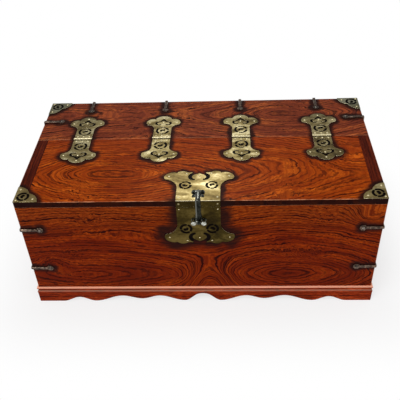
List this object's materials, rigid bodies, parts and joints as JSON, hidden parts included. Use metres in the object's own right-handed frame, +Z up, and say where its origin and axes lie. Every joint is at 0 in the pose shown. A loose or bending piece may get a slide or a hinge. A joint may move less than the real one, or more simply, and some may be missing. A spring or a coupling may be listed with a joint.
{
  "type": "storage chest",
  "caption": "Low wooden chest with a hinged front lid, butterfly hinges, a drop hasp over lock posts, corner straps, a scalloped plinth and swinging end handles.",
  "frame": {"origin": "middle of the overall box, on the floor that the plinth's feet stand on", "axes": "+X to the chest's right seen from its front, -Y out of the front, +Z up"},
  "size_m": [0.935, 0.4794, 0.3655],
  "materials": {
    "top_wood": "glossy oiled and lacquered elm, orange brown with dark grain",
    "case_wood": "glossy oiled and lacquered elm, red brown with dark grain",
    "dark_wood": "dark stained and lacquered elm",
    "bare_wood": "unfinished pine",
    "plate_brass": "aged sheet brass, unpolished",
    "nail_brass": "brass nail heads, worn bright",
    "iron": "forged iron, dark and lightly burnished"
  },
  "bodies": {
    "chest": {"front_board": "case_wood", "back_board": "case_wood", "left_side_board": "case_wood", "right_side_board": "case_wood", "bottom_board": "bare_wood", "rear_top_board": "top_wood", "plinth_front": "dark_wood", "plinth_back": "dark_wood", "plinth_left": "dark_wood", "plinth_right": "dark_wood", "plinth_corner_blocks": "bare_wood", "hinge_1_rear_leaf": "plate_brass", "hinge_2_rear_leaf": "plate_brass", "hinge_3_rear_leaf": "plate_brass", "hinge_4_rear_leaf": "plate_brass", "hinge_1_pin": "plate_brass", "hinge_2_pin": "plate_brass", "hinge_3_pin": "plate_brass", "hinge_4_pin": "plate_brass", "corner_plate_rear_left": "plate_brass", "corner_plate_rear_right": "plate_brass", "lock_plate_front": "plate_brass", "lock_post_left": "iron", "lock_post_right": "iron", "strap_front_left_lower": "iron", "strap_front_left_upper": "iron", "strap_front_right_lower": "iron", "strap_front_right_upper": "iron", "strap_top_left": "iron", "strap_top_right": "iron", "strap_back_1": "iron", "strap_back_2": "iron", "strap_back_3": "iron", "strap_back_4": "iron", "handle_roses_left": "plate_brass", "handle_roses_right": "plate_brass", "handle_eyes_left": "iron", "handle_eyes_right": "iron", "rear_top_nails": "nail_brass", "lock_plate_front_nails": "nail_brass", "strap_nails": "iron"},
    "lid": {"lid_panel": "top_wood", "lid_cleat_left": "dark_wood", "lid_cleat_right": "dark_wood", "hinge_1_lid_leaf": "plate_brass", "hinge_2_lid_leaf": "plate_brass", "hinge_3_lid_leaf": "plate_brass", "hinge_4_lid_leaf": "plate_brass", "corner_plate_front_left": "plate_brass", "corner_plate_front_right": "plate_brass", "lock_plate_lid": "plate_brass", "hasp_mount": "iron", "hasp_pin": "iron", "lid_nails": "nail_brass", "hasp_mount_nails": "iron"},
    "hasp": {"hasp": "iron"},
    "left_bail": {"handle_bail_left": "iron"},
    "right_bail": {"handle_bail_right": "iron"}
  },
  "joints": [
    {"name": "lid_hinge", "type": "hinge", "parent": "chest", "child": "lid", "pos_m": [0, 0.04385, 0.3582], "axis": [-1, 0, 0], "range_deg": [0, 170]},
    {"name": "hasp_hinge", "type": "hinge", "parent": "lid", "child": "hasp", "pos_m": [0, -0.19415, 0.3617], "axis": [-1, 0, 0], "range_deg": [0, 170]},
    {"name": "left_bail_swing", "type": "hinge", "parent": "chest", "child": "left_bail", "pos_m": [-0.4605, 0.00635, 0.228], "axis": [0, 1, 0], "range_deg": [-8, 188]},
    {"name": "right_bail_swing", "type": "hinge", "parent": "chest", "child": "right_bail", "pos_m": [0.4605, 0.00635, 0.228], "axis": [0, -1, 0], "range_deg": [-8, 188]}
  ]
}
